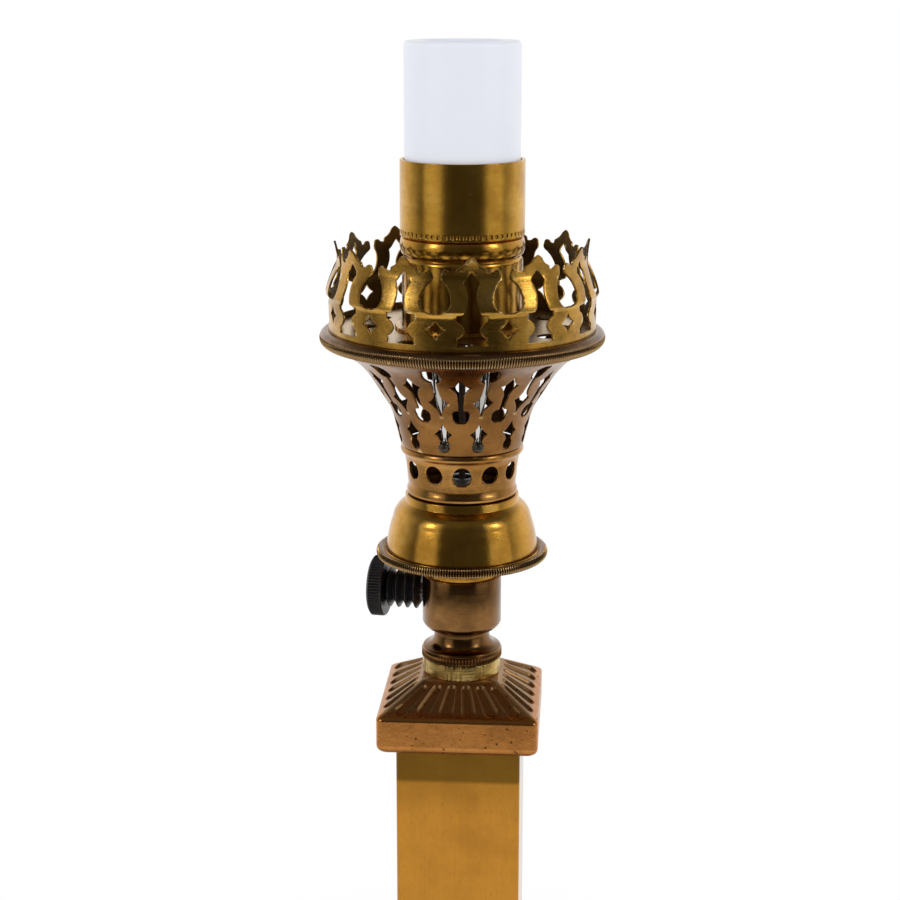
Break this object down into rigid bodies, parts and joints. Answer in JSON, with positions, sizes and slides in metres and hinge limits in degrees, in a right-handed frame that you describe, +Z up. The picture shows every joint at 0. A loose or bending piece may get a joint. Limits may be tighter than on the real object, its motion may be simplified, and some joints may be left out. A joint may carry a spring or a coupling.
{
  "type": "column table lamp",
  "caption": "Table lamp with a square brass column, an electrified oil-burner fitting with a fretted basket and crown, a rotary switch knob and a plain-skirt lampholder.",
  "frame": {"origin": "centre of the underside of the felt pad", "axes": "+Z up along the column, -Y is the front, the switch knob points to -X"},
  "size_m": [0.132, 0.132, 0.6012],
  "materials": {
    "felt": "matt green felt",
    "steel": "bright zinc plate",
    "nickel": "dull nickel plate",
    "cast_brass": "cast, patinated, dark in the flutes",
    "cast_iron": "rough cast",
    "black_plastic": "worn black moulding",
    "column_brass": "lacquered, cloudy patina",
    "pale_brass": "bright, scuffed",
    "aged_brass": "brown patina, satin",
    "polished_brass": "polished, lightly brushed",
    "bronzed_brass": "coppery bronze patina, satin",
    "crown_brass": "stamped sheet, polished, patchy patina",
    "switch_plastic": "brown moulding",
    "contact_brass": "bright strip",
    "white_plastic": "smooth, half gloss",
    "porcelain": "glazed ceramic",
    "lead_sleeve": "black sleeve"
  },
  "bodies": {
    "lamp": {"felt_pad": "felt", "base_cover": "steel", "cover_screws": "steel", "base_plinth": "cast_brass", "base_weight": "cast_iron", "cord_gland": "black_plastic", "gland_nut": "black_plastic", "stem_washer": "steel", "stem_nut": "steel", "stem_tube": "steel", "foot_block": "cast_brass", "column_tube": "column_brass", "column_cap": "cast_brass", "lock_ring": "pale_brass", "neck_flange": "aged_brass", "switch_body": "aged_brass", "body_nut": "steel", "body_collar": "polished_brass", "switch_block": "switch_plastic", "switch_cover": "switch_plastic", "switch_contacts": "contact_brass", "switch_screws": "contact_brass", "bowl_floor": "polished_brass", "bowl": "polished_brass", "bowl_ring": "bronzed_brass", "upper_tube": "steel", "air_collar_nut": "steel", "air_collar": "polished_brass", "basket": "bronzed_brass", "gallery_ring": "bronzed_brass", "gallery_plate": "bronzed_brass", "carrier_legs": "nickel", "shade_crown": "crown_brass", "socket_body": "polished_brass", "socket_cup": "polished_brass", "holder_tube": "steel", "holder_nut": "steel", "holder_cap": "white_plastic", "holder_skirt": "white_plastic", "holder_core": "porcelain", "centre_contact": "contact_brass", "side_contact": "contact_brass", "terminal_screws": "contact_brass", "lead_wires": "lead_sleeve"},
    "knob": {"switch_knob": "black_plastic", "switch_shaft": "steel", "switch_rotor": "switch_plastic"}
  },
  "joints": [
    {"name": "knob_turn", "type": "hinge", "parent": "lamp", "child": "knob", "pos_m": [-0.03298, 0.00463, 0.4064], "axis": [-0.9903, 0.1392, 0], "continuous": true}
  ]
}
